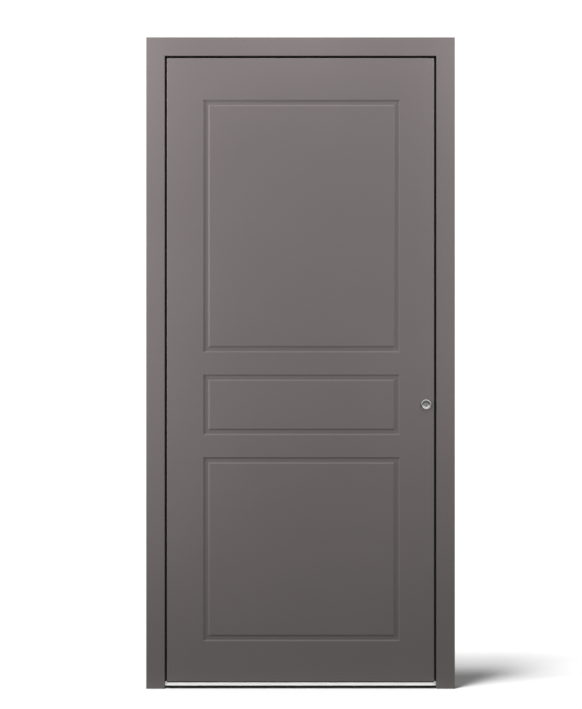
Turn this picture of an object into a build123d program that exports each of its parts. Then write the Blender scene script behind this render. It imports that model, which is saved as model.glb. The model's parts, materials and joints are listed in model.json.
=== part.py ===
import math
import os

from build123d import *

# Aluminium front door in its frame. Sizes are in millimetres.
# X runs right as seen from outside, Y runs into the house, Z runs up.
# The origin is the middle of the threshold's underside, halfway through the frame's depth.

# Frame profiles
frame_width = 1000.0
frame_height = 2110.0
frame_depth = 80.0
frame_face = 60.0
rebate_face = 41.0
stop_depth = 27.0
inner_shell_depth = 20.0
profile_wall = 2.2
profile_edge = 1.5
break_inset = 4.0
fixing_hole_radius = 4.0
fixing_end = 150.0
fixing_count = 4

# Stop gasket
gasket_foot_width = 4.0
gasket_foot_depth = 3.0
gasket_bulb_width = 9.0
gasket_bulb_round = 2.4
gasket_clearance = 0.3

# Threshold
threshold_height = 18.0
threshold_base_height = 7.0
threshold_setback = 25.0
threshold_wall = 2.5
threshold_edge = 1.5
threshold_base_inset = 1.5
tread_groove_width = 3.0
tread_groove_depth = 0.8
tread_groove_pitch = 9.0
tread_groove_count = 4

# Gaps round the leaf
face_gap = 7.5
rebate_gap = 7.0
seal_space = 5.5
threshold_gap = 5.0

# Leaf skins and grooves
skin_thickness = 2.5
skin_edge = 2.0
skin_return = 20.0
leaf_break_width = 12.0
hinge_stile = 117.5
lock_stile = 111.0
top_rail = 135.0
upper_panel = 818.0
cross_rail = 72.0
middle_panel = 196.0
bottom_rail = 131.0
groove_width = 20.5
groove_wall = 4.5
groove_depth = 3.5
groove_round = 1.5

# Seal under the leaf
bottom_seal_thickness = 6.0
bottom_seal_setback = 12.0
bottom_seal_clearance = 0.6

# Lock
lock_height = 920.0
backset = 45.0
lever_rise = 92.0
faceplate_width = 20.0
faceplate_length = 1760.0
faceplate_thickness = 3.0
faceplate_setback = 2.5
bolt_clearance = 0.3
bolt_length = 18.0
latch_width = 12.0
latch_height = 32.0
latch_rise = 122.0
latch_bevel = 5.0
dead_bolt_width = 14.0
dead_bolt_height = 36.0
dead_bolt_rise = 40.0
hook_width = 12.0
hook_height = 70.0
hook_low = 350.0
hook_high = 1650.0
strike_width = 24.0
strike_thickness = 2.0
strike_margin = 20.0
strike_slot_clearance = 1.5
strike_pocket_depth = 20.0

# Key cylinder and roses
cylinder_radius = 8.5
cylinder_lobe_width = 10.0
cylinder_height = 33.0
cylinder_clearance = 0.5
cylinder_proud = 1.5
plug_radius = 6.5
plug_proud = 1.5
plug_edge = 0.6
plug_length = 28.0
plug_clearance = 0.05
plug_end_play = 0.3
keyway_width = 2.4
keyway_height = 8.0
keyway_depth = 20.0
outer_rose_radius = 16.5
outer_rose_height = 4.75
outer_rose_rim = 5.0
outer_rose_round = 3.0
outer_rose_clearance = 0.5
inner_rose_width = 33.0
inner_rose_height = 70.0
inner_rose_thickness = 8.0
inner_rose_edge = 2.0

# Lever handle
lever_radius = 9.5
lever_reach = 52.0
lever_bend = 18.0
lever_length = 128.0
lever_end_round = 3.0
lever_clearance = 0.3

# Hinges
hinge_end_distance = 230.0
hinge_barrel_radius = 10.5
hinge_axis_out = 11.5
hinge_plate_width = 34.0
hinge_plate_thickness = 8.0
hinge_plate_round = 3.0
hinge_leaf_knuckle = 66.0
hinge_frame_knuckle = 40.0
hinge_knuckle_gap = 1.0
hinge_pin_radius = 6.0
hinge_pin_clearance = 0.05
hinge_cap_height = 5.0
hinge_cap_round = 2.0

# Planes and faces that follow from the sizes
outside = -frame_depth / 2
inside = frame_depth / 2
stop_back = outside + stop_depth
inner_front = inside - inner_shell_depth
break_middle = (stop_back + inner_front) / 2
step = stop_back + seal_space
frame_half = frame_width / 2
leaf_half = frame_half - frame_face - face_gap
leaf_top = frame_height - frame_face - face_gap
overlap_half = frame_half - rebate_face - rebate_gap
overlap_top = frame_height - rebate_face - rebate_gap
leaf_bottom = threshold_height + threshold_gap
groove_left = hinge_stile - leaf_half
groove_right = leaf_half - lock_stile
lock_x = overlap_half - backset
lever_z = lock_height + lever_rise
bolt_middle = step + faceplate_setback + faceplate_width / 2
same_plane = 0.01
groove_slope = math.degrees(math.atan2(groove_wall, groove_depth))
bend_shift = skin_thickness * math.tan(math.atan2(groove_depth, groove_wall) / 2)

left_mitre = Plane(origin=(-frame_half, 0, frame_height), z_dir=(1, 0, 1))
right_mitre = Plane(origin=(frame_half, 0, frame_height), z_dir=(-1, 0, 1))
head_plane = Plane(origin=(-frame_half, 0, frame_height), x_dir=(0, 0, -1), z_dir=(1, 0, 0))


def rect(x_low, x_high, y_low, y_high):
    middle = Pos((x_low + x_high) / 2, (y_low + y_high) / 2)
    return middle * Rectangle(x_high - x_low, y_high - y_low)


def block(x_low, x_high, y_low, y_high, z_low, z_high):
    middle = Pos((x_low + x_high) / 2, (y_low + y_high) / 2, (z_low + z_high) / 2)
    return middle * Box(x_high - x_low, y_high - y_low, z_high - z_low)


# A plane whose extrusions run along Y and whose own Y axis points down
def through_plane(x, y, z, direction=1):
    return Plane(origin=(x, y, z), x_dir=(direction, 0, 0), z_dir=(0, direction, 0))


# Frame: each section is drawn with X from the wall face towards the leaf and Y through the wall
def outer_shell_section():
    outline = rect(0, frame_face, outside, stop_back)
    outline = fillet(outline.vertices().group_by(Axis.Y)[0], profile_edge)
    front = outside + profile_wall
    main_chamber = rect(profile_wall, rebate_face - profile_wall, front, stop_back - profile_wall)
    lip_back = stop_back - gasket_foot_depth - profile_wall
    lip_chamber = rect(rebate_face, frame_face - profile_wall, front, lip_back)
    return outline - main_chamber - lip_chamber - gasket_foot_section()


def break_section():
    return rect(break_inset, rebate_face - break_inset, stop_back, inner_front)


def inner_shell_section():
    outline = rect(0, rebate_face, inner_front, inside)
    outline = fillet(outline.vertices().group_by(Axis.Y)[-1], profile_edge)
    chamber = rect(
        profile_wall, rebate_face - profile_wall, inner_front + profile_wall, inside - profile_wall
    )
    return outline - chamber


def gasket_middle():
    return (rebate_face + rebate_gap + frame_face) / 2


def gasket_foot_section():
    middle = gasket_middle()
    half = gasket_foot_width / 2
    return rect(middle - half, middle + half, stop_back - gasket_foot_depth, stop_back)


def gasket_section():
    middle = gasket_middle()
    half = gasket_bulb_width / 2
    bulb = rect(middle - half, middle + half, stop_back, step - gasket_clearance)
    bulb = fillet(bulb.vertices().group_by(Axis.Y)[-1], gasket_bulb_round)
    return bulb + gasket_foot_section()


def frame_sides(section):
    jamb = extrude(Pos(-frame_half, 0) * section, frame_height)
    hinge_jamb = split(jamb, bisect_by=left_mitre, keep=Keep.BOTTOM)
    bar = extrude(head_plane * section, frame_width)
    bar = split(bar, bisect_by=left_mitre, keep=Keep.TOP)
    head = split(bar, bisect_by=right_mitre, keep=Keep.TOP)
    lock_jamb = mirror(hinge_jamb, about=Plane.YZ)
    return {"hinge_jamb": hinge_jamb, "head": head, "lock_jamb": lock_jamb}


def fixing_holes():
    holes = []
    pitch = (frame_height - 2 * fixing_end) / (fixing_count - 1)
    for index in range(fixing_count):
        height = fixing_end + index * pitch
        hole_plane = Plane(origin=(-frame_half, break_middle, height), z_dir=(1, 0, 0))
        holes.append(extrude(hole_plane * Circle(fixing_hole_radius), frame_width))
    return holes


def frame_nodes():
    nodes = {}
    sections = {
        "outer": outer_shell_section(),
        "break": break_section(),
        "inner": inner_shell_section(),
        "gasket": gasket_section(),
    }
    for layer, section in sections.items():
        for side, solid in frame_sides(section).items():
            nodes[f"{side}_{layer}"] = solid
    under_gasket = block(-frame_half, frame_half, outside, inside, 0, threshold_height)
    for side in ("hinge_jamb", "lock_jamb"):
        nodes[f"{side}_gasket"] -= under_gasket
        for hole in fixing_holes():
            nodes[f"{side}_break"] -= hole
    for pocket in strike_pockets().values():
        nodes["lock_jamb_break"] -= pocket
    return nodes


# Threshold: a cap of bare aluminium over a plastic base, notched round the jambs
def threshold_bar(section):
    half = frame_half - rebate_face
    plane = Plane(origin=(-half, 0, 0), x_dir=(0, 1, 0), z_dir=(1, 0, 0))
    bar = extrude(plane * section, 2 * half)
    for sign in (-1, 1):
        jamb_edges = sorted((sign * (frame_half - frame_face), sign * frame_half))
        bar -= block(*jamb_edges, outside, stop_back, 0, threshold_height)
    return bar


def threshold_cap_section():
    front = outside + threshold_setback
    outline = rect(front, inside, threshold_base_height, threshold_height)
    outline = fillet(outline.vertices().group_by(Axis.Y)[-1], threshold_edge)
    under = threshold_height - threshold_wall
    outline -= rect(front + threshold_wall, inside - threshold_wall, threshold_base_height, under)
    middle = (front + inside) / 2
    for index in range(tread_groove_count):
        offset = (index - (tread_groove_count - 1) / 2) * tread_groove_pitch
        low = middle + offset - tread_groove_width / 2
        floor = threshold_height - tread_groove_depth
        outline -= rect(low, low + tread_groove_width, floor, threshold_height)
    return outline


def threshold_base_section():
    front = outside + threshold_setback
    inset = threshold_base_inset
    foot = rect(front + inset, inside - inset, 0, threshold_base_height)
    under = threshold_height - threshold_wall
    wall = threshold_wall
    return foot + rect(front + wall, inside - wall, threshold_base_height, under)


# Leaf
def panel_spans():
    upper_high = leaf_top - top_rail
    upper_low = upper_high - upper_panel
    middle_high = upper_low - cross_rail
    middle_low = middle_high - middle_panel
    lower_high = middle_low - cross_rail
    lower_low = leaf_bottom + bottom_rail
    return [(upper_low, upper_high), (middle_low, middle_high), (lower_low, lower_high)]


# A rectangular channel with sloping walls that grows from the plane at y towards the direction
def groove_ring(y, direction, grow, z_low, z_high):
    plane = through_plane((groove_left + groove_right) / 2, y, (z_low + z_high) / 2, direction)
    width = groove_right - groove_left + 2 * grow
    height = z_high - z_low + 2 * grow
    band = 2 * (groove_width + 2 * grow)
    outer = extrude(plane * Rectangle(width, height), groove_depth, taper=groove_slope)
    field = extrude(plane * Rectangle(width - band, height - band), groove_depth, taper=-groove_slope)
    return outer - field


def pressed_ridges(face, direction):
    back = face + direction * skin_thickness
    return [groove_ring(back, direction, bend_shift, low, high) for low, high in panel_spans()]


def press_grooves(skin, face, direction):
    for ridge in pressed_ridges(face, direction):
        skin += ridge
    for low, high in panel_spans():
        skin -= groove_ring(face, direction, 0, low, high)
    mouth = groove_edges(skin, face)
    floor = groove_edges(skin, face + direction * groove_depth)
    return fillet(mouth + floor, groove_round)


# The grooves' edges in the plane at y, without the outline of the skin
def groove_edges(skin, y):
    low = leaf_bottom + bottom_rail
    high = leaf_top - top_rail
    edges = skin.edges().filter_by_position(Axis.Y, y - same_plane, y + same_plane)
    edges = edges.filter_by_position(Axis.X, groove_left - same_plane, groove_right + same_plane)
    return edges.filter_by_position(Axis.Z, low - same_plane, high + same_plane)


def leaf_block(half, y_low, y_high, top, inset):
    z_low = leaf_bottom + inset
    return block(inset - half, half - inset, y_low, y_high, z_low, top - inset)


# The outside corners of a skin and the outline of its face at y
def outline_edges(skin, half, y, top):
    corners = skin.edges().filter_by(Axis.Y)
    corners = [edge for edge in corners if abs(edge.center().X) > half - same_plane]
    face_edges = skin.edges().filter_by_position(Axis.Y, y - same_plane, y + same_plane)
    sides = [edge for edge in face_edges if abs(edge.center().X) > half - same_plane]
    ends = face_edges.filter_by_position(Axis.Z, top - same_plane, top + same_plane)
    ends += face_edges.filter_by_position(Axis.Z, leaf_bottom - same_plane, leaf_bottom + same_plane)
    return corners + sides + ends


def outer_skin():
    return_end = outside + skin_return
    tray = leaf_block(leaf_half, outside, return_end, leaf_top, 0)
    tray -= leaf_block(leaf_half, outside + skin_thickness, return_end, leaf_top, skin_thickness)
    tray = press_grooves(tray, outside, 1)
    tray = fillet(outline_edges(tray, leaf_half, outside, leaf_top), skin_edge)
    nose = extrude(
        through_plane(lock_x, outside, lock_height) * Circle(cylinder_radius + cylinder_clearance),
        skin_thickness,
    )
    return tray - nose


def inner_skin():
    shell = leaf_block(overlap_half, step, inside, overlap_top, 0)
    wall = skin_thickness
    shell -= leaf_block(overlap_half, step + wall, inside - wall, overlap_top, wall)
    shell -= leaf_block(leaf_half, step, step + wall, leaf_top, leaf_break_width)
    shell = press_grooves(shell, inside, -1)
    shell = fillet(outline_edges(shell, overlap_half, inside, overlap_top), skin_edge)
    shell -= cylinder_hole(inside - wall, inside)
    shell -= faceplate_recess()
    return shell


def leaf_thermal_break():
    front = outside + skin_return
    ring = leaf_block(leaf_half, front, step, leaf_top, 0)
    return ring - leaf_block(leaf_half, front, step, leaf_top, leaf_break_width)


def leaf_core():
    wall = skin_thickness
    return_end = outside + skin_return
    core = leaf_block(leaf_half, outside + wall, return_end, leaf_top, wall)
    core += leaf_block(leaf_half, return_end, step + wall, leaf_top, leaf_break_width)
    core += leaf_block(overlap_half, step + wall, inside - wall, overlap_top, wall)
    for ridge in pressed_ridges(outside, 1) + pressed_ridges(inside, -1):
        core -= ridge
    core -= cylinder_hole(outside + wall, inside - wall)
    core -= faceplate_recess()
    for pocket in bolt_blocks(0):
        core -= pocket
    return core


def bottom_seal():
    front = step + bottom_seal_setback
    low = threshold_height + bottom_seal_clearance
    half = overlap_half - skin_edge
    seal = block(-half, half, front, front + bottom_seal_thickness, low, leaf_bottom)
    lower_edges = seal.edges().filter_by(Axis.X).group_by(Axis.Z)[0]
    return fillet(lower_edges, bottom_seal_thickness / 3)


# Multi-point lock on the leaf's lock edge, with its bolts drawn back flush
def faceplate_recess():
    return faceplate_block(overlap_half - faceplate_thickness, overlap_half)


def faceplate_block(x_low, x_high):
    y_low = step + faceplate_setback
    z_middle = (leaf_bottom + overlap_top) / 2
    z_low = z_middle - faceplate_length / 2
    return block(x_low, x_high, y_low, y_low + faceplate_width, z_low, z_low + faceplate_length)


def bolt_block(width, height, z, inset):
    x_low = overlap_half - bolt_length
    y_half = width / 2 - inset
    z_half = height / 2 - inset
    y_low = bolt_middle - y_half
    return block(x_low, overlap_half, y_low, bolt_middle + y_half, z - z_half, z + z_half)


def bolt_blocks(inset):
    return [
        bolt_block(latch_width, latch_height, lock_height + latch_rise, inset),
        bolt_block(dead_bolt_width, dead_bolt_height, lock_height + dead_bolt_rise, inset),
        bolt_block(hook_width, hook_height, hook_low, inset),
        bolt_block(hook_width, hook_height, hook_high, inset),
    ]


def lock_nodes():
    faceplate = faceplate_recess()
    for slot in bolt_blocks(0):
        faceplate -= slot
    latch, dead_bolt, low_hook, high_hook = bolt_blocks(bolt_clearance)
    nose_edge = latch.faces().sort_by(Axis.X)[-1].edges().sort_by(Axis.Y)[-1]
    latch = chamfer(nose_edge, latch_bevel)
    return {
        "lock_faceplate": faceplate,
        "latch_bolt": latch,
        "dead_bolt": dead_bolt,
        "hook_bolts": Compound(children=[low_hook, high_hook]),
    }


def strike_face():
    return frame_half - rebate_face + break_inset


# What a bolt passes through in its strike plate and enters in the jamb behind it
def strike_pocket(width, height, z):
    face = strike_face()
    y_half = width / 2 + strike_slot_clearance
    z_half = height / 2 + strike_slot_clearance
    y_low = bolt_middle - y_half
    y_high = bolt_middle + y_half
    return block(face - strike_thickness, face + strike_pocket_depth, y_low, y_high, z - z_half, z + z_half)


def strike_plate(pockets):
    face = strike_face()
    y_low = bolt_middle - strike_width / 2
    z_low = min(pocket.bounding_box().min.Z for pocket in pockets) - strike_margin
    z_high = max(pocket.bounding_box().max.Z for pocket in pockets) + strike_margin
    plate = block(face - strike_thickness, face, y_low, y_low + strike_width, z_low, z_high)
    for pocket in pockets:
        plate -= pocket
    return plate


def strike_pockets():
    return {
        "latch": strike_pocket(latch_width, latch_height, lock_height + latch_rise),
        "dead_bolt": strike_pocket(dead_bolt_width, dead_bolt_height, lock_height + dead_bolt_rise),
        "low_hook": strike_pocket(hook_width, hook_height, hook_low),
        "high_hook": strike_pocket(hook_width, hook_height, hook_high),
    }


def strike_nodes():
    pockets = strike_pockets()
    hooks = [strike_plate([pockets["low_hook"]]), strike_plate([pockets["high_hook"]])]
    return {
        "main_strike": strike_plate([pockets["latch"], pockets["dead_bolt"]]),
        "hook_strikes": Compound(children=hooks),
    }


# Key cylinder, drawn with the lobe below the round part
def cylinder_section(grow):
    lobe_radius = cylinder_lobe_width / 2
    lobe_drop = cylinder_height - cylinder_radius - lobe_radius
    half = lobe_radius + grow
    lobe = rect(-half, half, 0, lobe_drop) + Pos(0, lobe_drop) * Circle(half)
    return Circle(cylinder_radius + grow) + lobe


def cylinder_hole(y_low, y_high):
    plane = through_plane(lock_x, y_low, lock_height)
    return extrude(plane * cylinder_section(cylinder_clearance), y_high - y_low)


def plug_bore(mouth, direction, depth):
    plane = through_plane(lock_x, mouth, lock_height, direction)
    return extrude(plane * Circle(plug_radius + plug_clearance), depth + plug_end_play)


def key_plug(face, direction):
    plane = through_plane(lock_x, face, lock_height, direction)
    plug = extrude(plane * Circle(plug_radius), plug_length)
    front = plug.faces().sort_by(Axis.Y)[0 if direction > 0 else -1]
    plug = chamfer(front.edges(), plug_edge)
    keyway = extrude(plane * Rectangle(keyway_width, keyway_height), keyway_depth)
    return plug - keyway


def cylinder_nodes():
    inner_face = inside + inner_rose_thickness + cylinder_proud
    skin_back = outside + skin_thickness
    nose = extrude(through_plane(lock_x, outside, lock_height) * Circle(cylinder_radius), skin_thickness)
    body = extrude(through_plane(lock_x, skin_back, lock_height) * cylinder_section(0), inner_face - skin_back)
    cylinder = nose + body
    cylinder -= plug_bore(outside, 1, plug_length - plug_proud)
    cylinder -= plug_bore(inner_face, -1, plug_length)
    return {
        "lock_cylinder": cylinder,
        "key_plug": key_plug(outside - plug_proud, 1),
        "inside_key_plug": key_plug(inner_face, -1),
    }


# A rounded rim that runs smoothly into a concave dish, with the key plug in the hole of the dish
def outer_rose():
    hole = plug_radius + outer_rose_clearance
    edge = outer_rose_radius
    dish = edge - outer_rose_rim
    tilt = math.asin(outer_rose_rim / 2 / outer_rose_round)
    rim_end = outside - outer_rose_height + outer_rose_round * (1 - math.cos(tilt))
    dish_round = (dish - hole) / math.sin(tilt)
    floor = rim_end + dish_round * (1 - math.cos(tilt))
    outline = [
        Line((hole, outside), (edge, outside)),
        Line((edge, outside), (edge, rim_end)),
        RadiusArc((edge, rim_end), (dish, rim_end), outer_rose_round),
        RadiusArc((dish, rim_end), (hole, floor), -dish_round),
        Line((hole, floor), (hole, outside)),
    ]
    section = make_face(outline)
    axis = Axis((lock_x, 0, lock_height), (0, 1, 0))
    return revolve(Plane(origin=(lock_x, 0, lock_height)) * section, axis)


# Inside furniture
def inner_rose(z, hole):
    plane = through_plane(lock_x, inside, z)
    outline = RectangleRounded(inner_rose_width, inner_rose_height, inner_rose_width / 2 - inner_rose_edge)
    rose = extrude(plane * outline, inner_rose_thickness)
    rose = fillet(rose.faces().sort_by(Axis.Y)[-1].edges(), inner_rose_edge)
    return rose - extrude(plane * hole, inner_rose_thickness)


def lever():
    out = inside + lever_reach
    path = FilletPolyline(
        (lock_x, inside, lever_z),
        (lock_x, out, lever_z),
        (lock_x - lever_length, out, lever_z),
        radius=lever_bend,
    )
    bar = sweep(through_plane(lock_x, inside, lever_z) * Circle(lever_radius), path)
    tip = bar.faces().sort_by(Axis.X)[0]
    return fillet(tip.edges(), lever_end_round)


# Hinges on the inside face, with their axes over the gap between frame and leaf
def hinge_axis_x():
    return -(frame_half - rebate_face + overlap_half) / 2


def knuckle_section(direction, bore):
    barrel = Circle(hinge_barrel_radius)
    reach = rebate_gap / 2 + hinge_plate_width
    plate_top = hinge_plate_thickness - hinge_axis_out
    plate = rect(0, reach, -hinge_axis_out, plate_top)
    far_top = plate.vertices().group_by(Axis.X)[-1].sort_by(Axis.Y)[-1]
    plate = fillet(far_top, hinge_plate_round)
    if direction < 0:
        plate = mirror(plate, about=Plane.YZ)
    return barrel + plate - Circle(bore)


def knuckle(direction, z_low, height):
    bore = hinge_pin_radius + hinge_pin_clearance
    plane = Plane(origin=(hinge_axis_x(), inside + hinge_axis_out, z_low))
    return extrude(plane * knuckle_section(direction, bore), height)


def hinge_pin(z_low, z_high):
    plane = Plane(origin=(hinge_axis_x(), inside + hinge_axis_out, z_low))
    height = z_high - z_low
    pin = extrude(plane * Circle(hinge_pin_radius), height)
    cap = extrude(Plane.XY * Circle(hinge_barrel_radius), hinge_cap_height)
    cap = fillet(cap.faces().sort_by(Axis.Z)[-1].edges(), hinge_cap_round)
    return pin + plane * Pos(0, 0, height) * cap + plane * Rot(180, 0, 0) * cap


def hinge_nodes():
    nodes = {}
    low = leaf_bottom + hinge_end_distance
    high = leaf_top - hinge_end_distance
    places = {"lower": low, "middle": (low + high) / 2, "upper": high}
    for name, z in places.items():
        leaf_low = z - hinge_leaf_knuckle / 2
        leaf_high = z + hinge_leaf_knuckle / 2
        bottom = leaf_low - hinge_knuckle_gap - hinge_frame_knuckle
        top = leaf_high + hinge_knuckle_gap
        frame_parts = [knuckle(-1, bottom, hinge_frame_knuckle), knuckle(-1, top, hinge_frame_knuckle)]
        nodes[f"{name}_hinge_frame_part"] = Compound(children=frame_parts)
        nodes[f"{name}_hinge_leaf_part"] = knuckle(1, leaf_low, hinge_leaf_knuckle)
        nodes[f"{name}_hinge_pin"] = hinge_pin(bottom, top + hinge_frame_knuckle)
    return nodes


def door_nodes():
    nodes = frame_nodes()
    nodes["threshold_cap"] = threshold_bar(threshold_cap_section())
    nodes["threshold_base"] = threshold_bar(threshold_base_section())
    nodes.update(strike_nodes())
    nodes["leaf_outer_skin"] = outer_skin()
    nodes["leaf_inner_skin"] = inner_skin()
    nodes["leaf_thermal_break"] = leaf_thermal_break()
    nodes["leaf_core"] = leaf_core()
    nodes["leaf_bottom_seal"] = bottom_seal()
    nodes.update(lock_nodes())
    nodes.update(cylinder_nodes())
    nodes["outside_rose"] = outer_rose()
    nodes["inside_cylinder_rose"] = inner_rose(lock_height, cylinder_section(cylinder_clearance))
    nodes["lever_rose"] = inner_rose(lever_z, Circle(lever_radius + lever_clearance))
    nodes["inside_lever"] = lever()
    nodes.update(hinge_nodes())
    return nodes


os.makedirs("parts", exist_ok=True)
for name, solid in door_nodes().items():
    export_step(solid, f"parts/{name}.step")
    print(name, round(solid.volume))
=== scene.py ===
import json
import math

import bmesh
import bpy
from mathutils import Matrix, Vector


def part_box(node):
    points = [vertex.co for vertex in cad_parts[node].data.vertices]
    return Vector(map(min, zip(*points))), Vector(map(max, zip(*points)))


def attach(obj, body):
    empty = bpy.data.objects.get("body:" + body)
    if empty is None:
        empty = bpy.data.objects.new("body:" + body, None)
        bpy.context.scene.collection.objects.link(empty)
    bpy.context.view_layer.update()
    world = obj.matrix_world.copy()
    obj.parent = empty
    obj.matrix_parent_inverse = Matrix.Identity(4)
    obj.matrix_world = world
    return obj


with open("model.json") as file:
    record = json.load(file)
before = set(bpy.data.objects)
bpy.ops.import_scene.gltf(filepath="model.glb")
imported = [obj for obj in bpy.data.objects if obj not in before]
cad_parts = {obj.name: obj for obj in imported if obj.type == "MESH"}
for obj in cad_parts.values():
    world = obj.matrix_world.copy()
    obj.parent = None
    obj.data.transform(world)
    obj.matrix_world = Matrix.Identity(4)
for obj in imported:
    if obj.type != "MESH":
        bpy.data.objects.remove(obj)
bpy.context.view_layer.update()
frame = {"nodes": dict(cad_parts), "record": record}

print("door loaded,", len(frame["nodes"]), "solids")


# One socket of a node tree. Arithmetic on it adds Math nodes.
class Wire:
    def __init__(self, tree, socket):
        self.tree = tree
        self.socket = socket

    def port(self, name):
        return Wire(self.tree, self.socket.node.outputs[name])

    # settings first, then the values or links of the sockets
    def node(self, kind, settings, sockets, output=0):
        made = self.tree.nodes.new(kind)
        for name, value in settings.items():
            setattr(made, name, value)
        for name, value in sockets.items():
            if isinstance(value, Wire):
                self.tree.links.new(value.socket, made.inputs[name])
            else:
                made.inputs[name].default_value = value
        return Wire(self.tree, made.outputs[output]) if made.outputs else None

    def maths(self, operation, first, second):
        return self.node("ShaderNodeMath", {"operation": operation}, {0: first, 1: second})

    def __add__(self, other):
        return self.maths("ADD", self, other)

    def __radd__(self, other):
        return self.maths("ADD", other, self)

    def __sub__(self, other):
        return self.maths("SUBTRACT", self, other)

    def __rsub__(self, other):
        return self.maths("SUBTRACT", other, self)

    def __mul__(self, other):
        return self.maths("MULTIPLY", self, other)

    def __rmul__(self, other):
        return self.maths("MULTIPLY", other, self)

    def ramp(self, low, high):  # 0 at low, 1 at high, smooth between
        sockets = {"Value": self, "From Min": low, "From Max": high}
        return self.node("ShaderNodeMapRange", {"interpolation_type": "SMOOTHSTEP"}, sockets)

    def tint(self, colourA, colourB):  # colourA where the value is 0, colourB where it is 1
        sockets = {0: self, 6: colourA, 7: colourB}
        return self.node("ShaderNodeMix", {"data_type": "RGBA"}, sockets, 2)


def startFinish(name):
    finish = bpy.data.materials.new(name)
    finish.use_nodes = True
    tree = finish.node_tree
    tree.nodes.clear()
    place = Wire(tree, tree.nodes.new("ShaderNodeTexCoord").outputs["Object"])
    return finish, place


def closeFinish(place, sockets):
    shader = place.node("ShaderNodeBsdfPrincipled", {}, sockets)
    place.node("ShaderNodeOutputMaterial", {}, {"Surface": shader})


def grain(place, scale, detail, stretch=(1, 1, 1)):
    spread = place.node("ShaderNodeMapping", {}, {"Vector": place, "Scale": stretch})
    return place.node("ShaderNodeTexNoise", {}, {"Vector": spread, "Scale": scale, "Detail": detail})


def relief(height, strength, depth):
    sockets = {"Height": height, "Strength": strength, "Distance": depth}
    return height.node("ShaderNodeBump", {}, sockets)


# A sum of textures, each times its share
def blend(textures, shares):
    total = textures[0] * shares[0]
    for texture, share in zip(textures[1:], shares[1:]):
        total = total + texture * share
    return total


# In the plans of the finishes a texture is its scale, its detail and, where it has one, its stretch.
# Relief is its strength and its depth in metres.

# Fine-texture powder coat on both shells of the frame and both skins of the leaf
coatPlan = {
    "deep": (0.100, 0.0865, 0.0865, 1),
    "pale": (0.166, 0.146, 0.146, 1),
    "powder": (1100.0, 3.0),  # grains of about a millimetre
    "peel": (240.0, 2.0),
    "cloud": (2.4, 2.0),
    "shares": (0.55, 0.2, 0.25),
    "smoothest": 0.45,
    "roughShare": 0.2,
    "shine": 0.35,
    "reliefShares": (0.5, 0.5),
    "relief": (0.35, 0.0004),
}


def warmGreyCoat():
    finish, place = startFinish("warm_grey_coat")
    powder = grain(place, *coatPlan["powder"])
    peel = grain(place, *coatPlan["peel"])
    cloud = grain(place, *coatPlan["cloud"])
    shade = blend((powder, peel, cloud), coatPlan["shares"])
    bumps = blend((powder, peel), coatPlan["reliefShares"])
    closeFinish(
        place,
        {
            "Base Color": shade.tint(coatPlan["deep"], coatPlan["pale"]),
            "Roughness": coatPlan["smoothest"] + powder * coatPlan["roughShare"],
            "Specular IOR Level": coatPlan["shine"],
            "Normal": relief(bumps, *coatPlan["relief"]),
        },
    )
    return finish


# Natural anodised aluminium, with the draw lines of the extrusion along the threshold
thresholdPlan = {
    "dull": (0.70, 0.70, 0.69, 1),
    "bright": (0.90, 0.90, 0.885, 1),
    "lines": (60.0, 4.0, (0.06, 22.0, 22.0)),
    "scuff": (45.0, 5.0),
    "shares": (0.7, 0.3),
    "smoothest": 0.22,
    "roughShares": (0.2, 0.12),
    "relief": (0.12, 0.0003),
}


def anodisedAluminium():
    finish, place = startFinish("anodised_aluminium")
    lines = grain(place, *thresholdPlan["lines"])
    scuff = grain(place, *thresholdPlan["scuff"])
    shade = blend((lines, scuff), thresholdPlan["shares"])
    closeFinish(
        place,
        {
            "Base Color": shade.tint(thresholdPlan["dull"], thresholdPlan["bright"]),
            "Metallic": 1.0,
            "Roughness": thresholdPlan["smoothest"] + blend((lines, scuff), thresholdPlan["roughShares"]),
            "Normal": relief(lines, *thresholdPlan["relief"]),
        },
    )
    return finish


# Black polyamide of the thermal breaks and the threshold's foot, with pale glass fibres in it
breakPlan = {
    "black": (0.016, 0.016, 0.017, 1),
    "pale": (0.050, 0.050, 0.050, 1),
    "fibre": (700.0, 3.0, (1, 1, 0.12)),
    "patch": (30.0, 3.0),
    "shares": (0.7, 0.3),
    "smoothest": 0.5,
    "roughShare": 0.2,
    "shine": 0.4,
    "relief": (0.2, 0.0003),
}


def fibreFilledBlack():
    finish, place = startFinish("fibre_filled_black")
    fibre = grain(place, *breakPlan["fibre"])
    patch = grain(place, *breakPlan["patch"])
    shade = blend((fibre, patch), breakPlan["shares"])
    closeFinish(
        place,
        {
            "Base Color": shade.tint(breakPlan["black"], breakPlan["pale"]),
            "Roughness": breakPlan["smoothest"] + fibre * breakPlan["roughShare"],
            "Specular IOR Level": breakPlan["shine"],
            "Normal": relief(fibre, *breakPlan["relief"]),
        },
    )
    return finish


# Rubber of the gaskets, the seal under the leaf and the weather strip, with a faint bloom
rubberPlan = {
    "black": (0.006, 0.006, 0.006, 1),
    "pale": (0.022, 0.022, 0.023, 1),
    "bloom": (55.0, 4.0),
    "skin": (900.0, 2.0),
    "smoothest": 0.62,
    "roughShare": 0.2,
    "shine": 0.15,
    "relief": (0.2, 0.0002),
}


def sealRubber():
    finish, place = startFinish("seal_rubber")
    bloom = grain(place, *rubberPlan["bloom"])
    skin = grain(place, *rubberPlan["skin"])
    closeFinish(
        place,
        {
            "Base Color": bloom.tint(rubberPlan["black"], rubberPlan["pale"]),
            "Roughness": rubberPlan["smoothest"] + bloom * rubberPlan["roughShare"],
            "Specular IOR Level": rubberPlan["shine"],
            "Normal": relief(skin, *rubberPlan["relief"]),
        },
    )
    return finish


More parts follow.
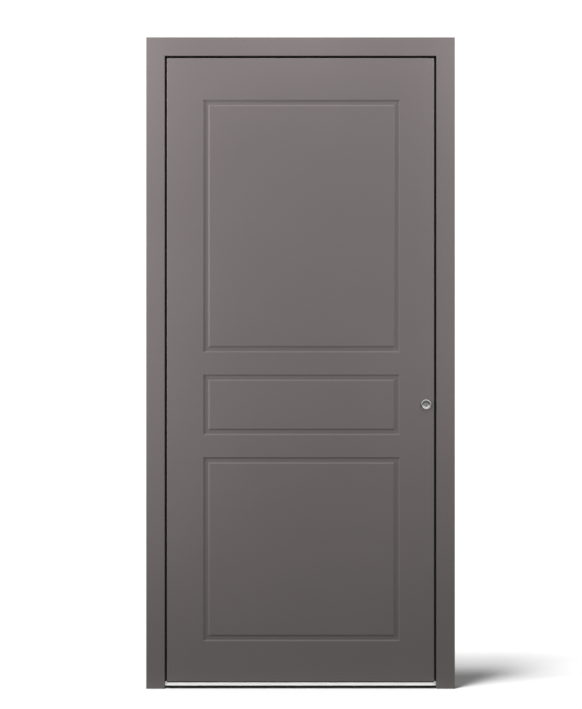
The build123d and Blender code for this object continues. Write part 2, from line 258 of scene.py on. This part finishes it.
# Board inside the leaf: yellowish fibres lying in the plane of the leaf
boardPlan = {
    "dark": (0.36, 0.29, 0.15, 1),
    "light": (0.72, 0.64, 0.42, 1),
    "strands": (160.0, 5.0, (0.25, 2.0, 1.0)),
    "roughness": 0.92,
    "relief": (0.6, 0.001),
}


def fibreBoard():
    finish, place = startFinish("fibre_board")
    strands = grain(place, *boardPlan["strands"])
    closeFinish(
        place,
        {
            "Base Color": strands.tint(boardPlan["dark"], boardPlan["light"]),
            "Roughness": boardPlan["roughness"],
            "Normal": relief(strands, *boardPlan["relief"]),
        },
    )
    return finish


# Brushed stainless steel; the brush lines run along one axis of the piece
steelPlan = {
    "dull": (0.50, 0.49, 0.475, 1),
    "bright": (0.72, 0.71, 0.69, 1),
    "lines": (70.0, 4.0),
    "upright": (20.0, 20.0, 0.08),
    "alongLever": (0.08, 20.0, 20.0),
    "everyWay": (6.0, 6.0, 6.0),
    "smear": (28.0, 3.0),
    "shares": (0.75, 0.25),
    "smoothest": 0.18,
    "roughShares": (0.2, 0.08),
    "relief": (0.1, 0.0002),
}


def brushedSteel(name, lineStretch):
    finish, place = startFinish(name)
    lines = grain(place, *steelPlan["lines"], lineStretch)
    smear = grain(place, *steelPlan["smear"])
    shade = blend((lines, smear), steelPlan["shares"])
    closeFinish(
        place,
        {
            "Base Color": shade.tint(steelPlan["dull"], steelPlan["bright"]),
            "Metallic": 1.0,
            "Roughness": steelPlan["smoothest"] + blend((lines, smear), steelPlan["roughShares"]),
            "Normal": relief(lines, *steelPlan["relief"]),
        },
    )
    return finish


# The lock's rose and key plugs are turned, so their lines are rings round the lock's axis
lockPlan = {
    "axis": (0.407, 0.0, 0.92),
    "across": (1, 0, 1),  # keeps what lies across the axis
    "ringScale": 1500.0,
    "ringDetail": 3.0,
    "smear": (160.0, 3.0),
    "shares": (0.7, 0.3),
    "smoothShares": (0.14, 0.06),
    "relief": (0.08, 0.0002),
    "steel": {"dull": (0.64, 0.63, 0.61, 1), "bright": (0.90, 0.89, 0.865, 1), "roughest": 0.25},
    "nickel": {"dull": (0.66, 0.64, 0.60, 1), "bright": (0.88, 0.85, 0.80, 1), "roughest": 0.42},
}


def turnedMetal(name, metal):
    finish, place = startFinish(name)
    middle = place.node("ShaderNodeVectorMath", {"operation": "SUBTRACT"}, {0: place, 1: lockPlan["axis"]})
    flat = place.node("ShaderNodeVectorMath", {"operation": "MULTIPLY"}, {0: middle, 1: lockPlan["across"]})
    radius = place.node("ShaderNodeVectorMath", {"operation": "LENGTH"}, {0: flat}, "Value")
    sockets = {"W": radius * lockPlan["ringScale"], "Detail": lockPlan["ringDetail"]}
    rings = place.node("ShaderNodeTexNoise", {"noise_dimensions": "1D"}, sockets)
    smear = grain(place, *lockPlan["smear"])
    shade = blend((rings, smear), lockPlan["shares"])
    closeFinish(
        place,
        {
            "Base Color": shade.tint(metal["dull"], metal["bright"]),
            "Metallic": 1.0,
            "Roughness": metal["roughest"] - blend((rings, smear), lockPlan["smoothShares"]),
            "Normal": relief(rings, *lockPlan["relief"]),
        },
    )
    return finish


finishOfSlot = {
    "coat": warmGreyCoat(),
    "bare_aluminium": anodisedAluminium(),
    "insulating_plastic": fibreFilledBlack(),
    "seal_rubber": sealRubber(),
    "insulating_board": fibreBoard(),
    "stainless": brushedSteel("steel_brushed_upright", steelPlan["upright"]),
    "nickel": turnedMetal("turned_nickel", lockPlan["nickel"]),
}
finishOfNode = {
    "inside_lever": brushedSteel("steel_brushed_along_lever", steelPlan["alongLever"]),
    "outside_rose": turnedMetal("turned_steel", lockPlan["steel"]),
}
for part in frame["record"]["subparts"]:
    solid = frame["nodes"][part["node"]]
    finish = finishOfNode.get(part["node"], finishOfSlot[part["material_slot"]])
    for materialSlot in solid.material_slots:
        materialSlot.material = finish
print("finishes set")


# Screw heads: a low dome with a six-sided socket, one at each point, turned by chance
screwPlan = {
    "headRadius": 0.0042,
    "headHeight": 0.0009,
    "socketRadius": 0.0019,
    "socketDepth": 0.0006,
    "socketSides": 6,
    "segments": 24,
    "rings": 12,
    "turnSeed": 7,
}


def screwHeadTree():
    tree = bpy.data.node_groups.new("screw_heads", "GeometryNodeTree")
    sizes = ("Head radius", "Head height", "Socket radius", "Socket depth")
    tree.interface.new_socket("Points", in_out="INPUT", socket_type="NodeSocketGeometry")
    for name in sizes:
        tree.interface.new_socket(name, in_out="INPUT", socket_type="NodeSocketFloat")
    tree.interface.new_socket("Finish", in_out="INPUT", socket_type="NodeSocketMaterial")
    tree.interface.new_socket("Heads", in_out="OUTPUT", socket_type="NodeSocketGeometry")
    points = Wire(tree, tree.nodes.new("NodeGroupInput").outputs["Points"])
    radius, height, socketRadius, socketDepth = [points.port(name) for name in sizes]
    sockets = {"Segments": screwPlan["segments"], "Rings": screwPlan["rings"], "Radius": 1.0}
    ball = points.node("GeometryNodeMeshUVSphere", {}, sockets)
    smooth = points.node("GeometryNodeSetShadeSmooth", {}, {0: ball, "Shade Smooth": True})
    squash = points.node("ShaderNodeCombineXYZ", {}, {"X": radius, "Y": radius, "Z": height})
    dome = points.node("GeometryNodeTransform", {}, {"Geometry": smooth, "Scale": squash})
    sockets = {"Vertices": screwPlan["socketSides"], "Radius": socketRadius, "Depth": socketDepth * 2}
    key = points.node("GeometryNodeMeshCylinder", {}, sockets)
    flat = points.node("GeometryNodeSetShadeSmooth", {}, {0: key, "Shade Smooth": False})
    lift = points.node("ShaderNodeCombineXYZ", {}, {"Z": height})
    tool = points.node("GeometryNodeTransform", {}, {"Geometry": flat, "Translation": lift})
    sockets = {"Mesh 1": dome, "Mesh 2": tool}
    head = points.node("GeometryNodeMeshBoolean", {"operation": "DIFFERENCE"}, sockets)
    settings = {"data_type": "FLOAT_VECTOR"}
    outward = points.node("GeometryNodeInputNamedAttribute", settings, {"Name": "outward"})
    size = points.node("GeometryNodeInputNamedAttribute", {"data_type": "FLOAT"}, {"Name": "size"})
    upright = points.node("FunctionNodeAlignRotationToVector", {"axis": "Z"}, {"Vector": outward})
    sockets = {2: 0.0, 3: math.tau, "Seed": screwPlan["turnSeed"]}
    angle = points.node("FunctionNodeRandomValue", {"data_type": "FLOAT"}, sockets, 1)
    turn = points.node("FunctionNodeAxisAngleToRotation", {}, {"Axis": (0, 0, 1), "Angle": angle})
    sockets = {"Rotation": upright, "Rotate By": turn}
    turned = points.node("FunctionNodeRotateRotation", {"rotation_space": "LOCAL"}, sockets)
    sockets = {"Points": points, "Instance": head, "Rotation": turned, "Scale": size}
    heads = points.node("GeometryNodeInstanceOnPoints", {}, sockets)
    solid = points.node("GeometryNodeRealizeInstances", {}, {"Geometry": heads})
    sockets = {"Geometry": solid, "Material": points.port("Finish")}
    done = points.node("GeometryNodeSetMaterial", {}, sockets)
    points.node("NodeGroupOutput", {}, {"Heads": done})
    return tree


# Each place is a point on the face, the way the head looks, and its size
def drivenScrews(name, tree, finish, places):
    mesh = bpy.data.meshes.new(name)
    mesh.from_pydata([point for point, outward, size in places], [], [])
    mesh.attributes.new("outward", "FLOAT_VECTOR", "POINT")
    mesh.attributes.new("size", "FLOAT", "POINT")
    for index, (point, outward, size) in enumerate(places):
        mesh.attributes["outward"].data[index].vector = outward
        mesh.attributes["size"].data[index].value = size
    piece = bpy.data.objects.new(name, mesh)
    bpy.context.scene.collection.objects.link(piece)
    modifier = piece.modifiers.new("heads", "NODES")
    modifier.node_group = tree
    values = {
        "Head radius": screwPlan["headRadius"],
        "Head height": screwPlan["headHeight"],
        "Socket radius": screwPlan["socketRadius"],
        "Socket depth": screwPlan["socketDepth"],
        "Finish": finish,
    }
    for item in tree.interface.items_tree:
        if item.in_out == "INPUT" and item.name in values:
            modifier[item.identifier] = values[item.name]
    ready = piece.evaluated_get(bpy.context.evaluated_depsgraph_get())
    plain = bpy.data.meshes.new_from_object(ready)
    piece.modifiers.clear()
    piece.data = plain
    return piece


hingeScrewPlan = {
    "face": 0.048,  # inside face of the hinge plates
    "leafX": -0.4305,
    "leafRises": (-0.020, 0.020),
    "frameX": -0.4805,
    "frameRises": (-0.066, -0.042, 0.042, 0.066),
    "size": 1.1,
}


def hingeScrews():
    onFrame, onLeaf = [], []
    face, size = hingeScrewPlan["face"], hingeScrewPlan["size"]
    for place in ("lower", "middle", "upper"):
        low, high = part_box(place + "_hinge_leaf_part")
        middle = (low.z + high.z) / 2
        for rise in hingeScrewPlan["leafRises"]:
            onLeaf.append(((hingeScrewPlan["leafX"], face, middle + rise), (0, 1, 0), size))
        for rise in hingeScrewPlan["frameRises"]:
            onFrame.append(((hingeScrewPlan["frameX"], face, middle + rise), (0, 1, 0), size))
    return onFrame, onLeaf


strikeScrewPlan = {
    "inset": 0.009,
    "hookHeights": (0.350, 1.650),
    "hookRises": (-0.047, 0.047),
    "size": 0.9,
}


def strikeScrews():
    low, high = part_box("main_strike")
    depth = (low.y + high.y) / 2
    inset = strikeScrewPlan["inset"]
    places = [(low.x, depth, low.z + inset), (low.x, depth, high.z - inset)]
    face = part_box("hook_strikes")[0].x
    for hook in strikeScrewPlan["hookHeights"]:
        for rise in strikeScrewPlan["hookRises"]:
            places.append((face, depth, hook + rise))
    return [(place, (-1, 0, 0), strikeScrewPlan["size"]) for place in places]


faceplateScrewPlan = {
    "heights": (0.185, 0.290, 0.410, 0.640, 0.870, 0.911, 1.100, 1.350, 1.590, 1.710, 1.900),
    "size": 0.9,
}


def faceplateScrews():
    low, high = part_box("lock_faceplate")
    depth = (low.y + high.y) / 2
    size = faceplateScrewPlan["size"]
    return [((high.x, depth, z), (1, 0, 0), size) for z in faceplateScrewPlan["heights"]]


thresholdScrewPlan = {"along": (-0.36, 0.0, 0.36), "depth": -0.0088, "size": 0.8}


def thresholdScrews():
    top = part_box("threshold_cap")[1].z
    depth, size = thresholdScrewPlan["depth"], thresholdScrewPlan["size"]
    return [((x, depth, top), (0, 0, 1), size) for x in thresholdScrewPlan["along"]]


grubScrewPlan = {"depth": 0.060, "neckRadius": 0.0093, "size": 0.6}


def leverGrubScrew():
    low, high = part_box("lever_rose")
    under = (low.z + high.z) / 2 - grubScrewPlan["neckRadius"]
    neck = ((low.x + high.x) / 2, grubScrewPlan["depth"], under)
    return [(neck, (0, 0, -1), grubScrewPlan["size"])]


frameHinges, leafHinges = hingeScrews()
headTree = screwHeadTree()
screwSteel = brushedSteel("screw_steel", steelPlan["everyWay"])
framePlaces = frameHinges + strikeScrews() + thresholdScrews()
frameScrews = drivenScrews("frame_screws", headTree, screwSteel, framePlaces)
leafPlaces = leafHinges + faceplateScrews() + leverGrubScrew()
leafScrews = drivenScrews("leaf_screws", headTree, screwSteel, leafPlaces)
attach(frameScrews, "frame")
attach(leafScrews, "leaf")
print("screws set,", len(frameScrews.data.polygons) + len(leafScrews.data.polygons), "faces")


# Small blocks with rounded edges, each given by its lowest and highest corner
blockPlan = {"edgeSegments": 3, "edgeProfile": 0.5}


def roundedBlocks(name, boxes, edge, finish):
    shape = bmesh.new()
    for low, high in boxes:
        corners = bmesh.ops.create_cube(shape, size=1.0)["verts"]
        bmesh.ops.scale(shape, vec=high - low, verts=corners)
        bmesh.ops.translate(shape, vec=(low + high) / 2, verts=corners)
    bmesh.ops.bevel(
        shape,
        geom=shape.edges[:],
        offset=edge,
        segments=blockPlan["edgeSegments"],
        profile=blockPlan["edgeProfile"],
        affect="EDGES",
    )
    mesh = bpy.data.meshes.new(name)
    shape.to_mesh(mesh)
    shape.free()
    mesh.materials.append(finish)
    piece = bpy.data.objects.new(name, mesh)
    bpy.context.scene.collection.objects.link(piece)
    return piece


# A cap at each end of the threshold closes the corner between its front edge and the jamb
endCapPlan = {
    "inner": 0.4332,
    "outer": 0.4398,
    "front": -0.0155,
    "back": -0.0090,
    "sunk": 0.0003,
    "rise": 0.0038,
    "edge": 0.0008,
}


def thresholdEndCaps():
    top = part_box("threshold_cap")[1].z
    boxes = []
    for side in (-1, 1):
        near, far = sorted((side * endCapPlan["inner"], side * endCapPlan["outer"]))
        low = Vector((near, endCapPlan["front"], top - endCapPlan["sunk"]))
        high = Vector((far, endCapPlan["back"], top + endCapPlan["rise"]))
        boxes.append((low, high))
    finish = finishOfSlot["bare_aluminium"]
    return roundedBlocks("threshold_end_caps", boxes, endCapPlan["edge"], finish)


# Weather strip under the head, set back in the gap above the leaf; as a black piece it is also painted
# shade, darkening the top gap
stripAndGapShadePlan = {
    "half": 0.438,
    "front": -0.027,
    "back": -0.020,
    "sunk": 0.0003,
    "hang": 0.0058,
    "edge": 0.0015,
}


def makeStripAndGapShade():
    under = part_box("head_outer")[0].z
    half = stripAndGapShadePlan["half"]
    low = Vector((-half, stripAndGapShadePlan["front"], under - stripAndGapShadePlan["hang"]))
    high = Vector((half, stripAndGapShadePlan["back"], under + stripAndGapShadePlan["sunk"]))
    finish = finishOfSlot["seal_rubber"]
    return roundedBlocks("head_strip_and_gap_shade", [(low, high)], stripAndGapShadePlan["edge"], finish)


endCaps = thresholdEndCaps()
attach(endCaps, "frame")
# the black strip is partly a real seal and partly painted shade in the top gap
stripAndGapShade = makeStripAndGapShade()
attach(stripAndGapShade, "frame")
print("threshold ends and weather strip set")


# White studio: the floor has suns of its own, so that it is white up to the door's shadow.
# Metal mirrors it bright close to the door, dark further in front and grey behind.
floorPlan = {
    "half": 12.0,
    "drop": 0.0006,
    "seen": 0.40,
    "bounce": 0.11,
    "mirroredNear": 0.80,
    "mirroredFar": 0.04,
    "mirroredBack": 0.20,
    "nearReach": 0.06,
    "farReach": 0.16,
    "backReach": 0.10,
}


def studioFloor():
    mesh = bpy.data.meshes.new("studio_floor")
    shape = bmesh.new()
    bmesh.ops.create_grid(shape, x_segments=2, y_segments=2, size=floorPlan["half"])
    bmesh.ops.translate(shape, vec=(0, 0, -floorPlan["drop"]), verts=shape.verts)
    shape.to_mesh(mesh)
    shape.free()
    floor = bpy.data.objects.new("studio_floor", mesh)
    bpy.context.scene.collection.objects.link(floor)
    finish, place = startFinish("studio_floor_white")
    camera = Wire(place.tree, place.tree.nodes.new("ShaderNodeLightPath").outputs["Is Camera Ray"])
    front = place.node("ShaderNodeSeparateXYZ", {}, {0: place}, "Y")
    far = front.ramp(-floorPlan["nearReach"], -floorPlan["farReach"])
    behind = front.ramp(0.0, floorPlan["backReach"])
    near = floorPlan["mirroredNear"]
    change = far * (floorPlan["mirroredFar"] - near) + behind * (floorPlan["mirroredBack"] - near)
    mirrored = near + change
    glossy = camera.port("Is Glossy Ray")
    plain = 1 - camera.maths("MAXIMUM", camera, glossy)
    shade = camera * floorPlan["seen"] + glossy * mirrored + plain * floorPlan["bounce"]
    colour = shade.tint((0, 0, 0, 1), (1, 1, 1, 1))
    lit = place.node("ShaderNodeBsdfDiffuse", {}, {"Color": colour})
    place.node("ShaderNodeOutputMaterial", {}, {"Surface": lit})
    mesh.materials.append(finish)
    return floor


# A white backdrop; metal mirrors a dim room in front, a white ceiling and a grey wall behind the door
worldPlan = {
    "seen": 1.06,  # just over white, so that the floor's far edge doesn't show
    "ambient": 0.55,
    "glossFront": 0.20,
    "glossCeiling": 1.0,
    "glossBack": 0.50,
    "ceilingRamp": (-0.25, 0.6),
    "backRamp": (-0.1, 0.4),
}


def studioWorld():
    world = bpy.data.worlds.new("white_studio")
    bpy.context.scene.world = world
    world.use_nodes = True
    tree = world.node_tree
    tree.nodes.clear()
    camera = Wire(tree, tree.nodes.new("ShaderNodeLightPath").outputs["Is Camera Ray"])
    glossy = camera.port("Is Glossy Ray")
    seen = camera.maths("MAXIMUM", camera, camera.port("Is Transmission Ray"))
    way = Wire(tree, tree.nodes.new("ShaderNodeTexCoord").outputs["Generated"])
    height = way.node("ShaderNodeSeparateXYZ", {}, {0: way}, "Z")
    depth = height.port("Y")
    dim = worldPlan["glossFront"]
    ceiling = height.ramp(*worldPlan["ceilingRamp"]) * (worldPlan["glossCeiling"] - dim)
    back = depth.ramp(*worldPlan["backRamp"]) * (worldPlan["glossBack"] - dim)
    mirrored = dim + ceiling.maths("MAXIMUM", ceiling, back)
    plain = 1 - seen.maths("MAXIMUM", seen, glossy)
    strength = seen * worldPlan["seen"] + glossy * mirrored + plain * worldPlan["ambient"]
    sky = way.node("ShaderNodeBackground", {}, {"Color": (1, 1, 1, 1), "Strength": strength})
    way.node("ShaderNodeOutputWorld", {}, {"Surface": sky})


# Soft lamps on the door: above its front, at both sides of it, and behind it
lampPlan = {
    "top": {"place": (0, -0.25, 2.6), "aim": (0.1, 0, 1.4), "size": 0.3, "power": 6.5},
    "left": {"place": (-1.6, -0.6, 1.2), "aim": (-0.4, 0, 1.4), "size": 0.9, "power": 33.0},
    "highLeft": {"place": (-1.05, -0.25, 2.2), "aim": (-0.35, 0, 2.05), "size": 0.35, "power": 10.5},
    "right": {"place": (1.1, -0.95, 1.15), "aim": (0.25, 0, 1.35), "size": 0.6, "power": 7.0},
    "highRight": {"place": (1.05, -0.3, 2.2), "aim": (0, 0, 1.4), "size": 0.4, "power": 9.0},
    "back": {"place": (1.5, 3.2, 2.5), "aim": (0, 0, 1.0), "size": 1.4, "power": 100.0},
}
# Two suns on the floor alone; the lower one draws out the far end of the door's shadow
sunPlan = {
    "steep": {"from": (-0.17, -0.2, 1.0), "spreadDegrees": 10.0, "power": 4.0},
    "low": {"from": (-0.2, -0.38, 1.0), "spreadDegrees": 10.0, "power": 3.0},
}


def lampHolder(name, lamp, look, pieces):
    holder = bpy.data.objects.new(name, lamp)
    bpy.context.scene.collection.objects.link(holder)
    holder.rotation_euler = look.to_track_quat("-Z", "Y").to_euler()
    holder.visible_camera = False
    lit = bpy.data.collections.new(name + "_lights")
    for piece in pieces:
        lit.objects.link(piece)
    holder.light_linking.receiver_collection = lit
    return holder


def doorLamp(name, plan, pieces):
    lamp = bpy.data.lights.new(name, "AREA")
    lamp.shape = "DISK"
    lamp.size = plan["size"]
    lamp.energy = plan["power"]
    look = Vector(plan["aim"]) - Vector(plan["place"])
    holder = lampHolder(name, lamp, look, pieces)
    holder.location = plan["place"]
    holder.visible_glossy = False  # metal mirrors the studio, not the lamps


def floorSun(name, plan, floor):
    lamp = bpy.data.lights.new(name, "SUN")
    lamp.angle = math.radians(plan["spreadDegrees"])
    lamp.energy = plan["power"]
    lampHolder(name, lamp, -Vector(plan["from"]), [floor])


# Straight on and level, about eight metres away; the picture is 582 wide and 709 high
cameraPlan = {
    "place": (-0.0309, -8.04, 1.0824),
    "viewHeight": 2.2966,  # metres of the door's front plane that the picture takes in
    "distance": 8.0,
    "sensor": 36.0,
}


def frontCamera():
    camera = bpy.data.cameras.new("front_camera")
    camera.sensor_fit = "VERTICAL"
    camera.sensor_height = cameraPlan["sensor"]
    camera.lens = cameraPlan["sensor"] * cameraPlan["distance"] / cameraPlan["viewHeight"]
    holder = bpy.data.objects.new("front_camera", camera)
    bpy.context.scene.collection.objects.link(holder)
    holder.location = cameraPlan["place"]
    holder.rotation_euler = (math.pi / 2, 0, 0)
    bpy.context.scene.camera = holder


floor = studioFloor()
for name, plan in sunPlan.items():
    floorSun(name + "_sun", plan, floor)
studioWorld()
doorPieces = list(frame["nodes"].values()) + [frameScrews, leafScrews, endCaps, stripAndGapShade]
for name, plan in lampPlan.items():
    doorLamp(name + "_lamp", plan, doorPieces)
frontCamera()
bpy.context.scene.view_settings.view_transform = "Standard"
print("studio set")
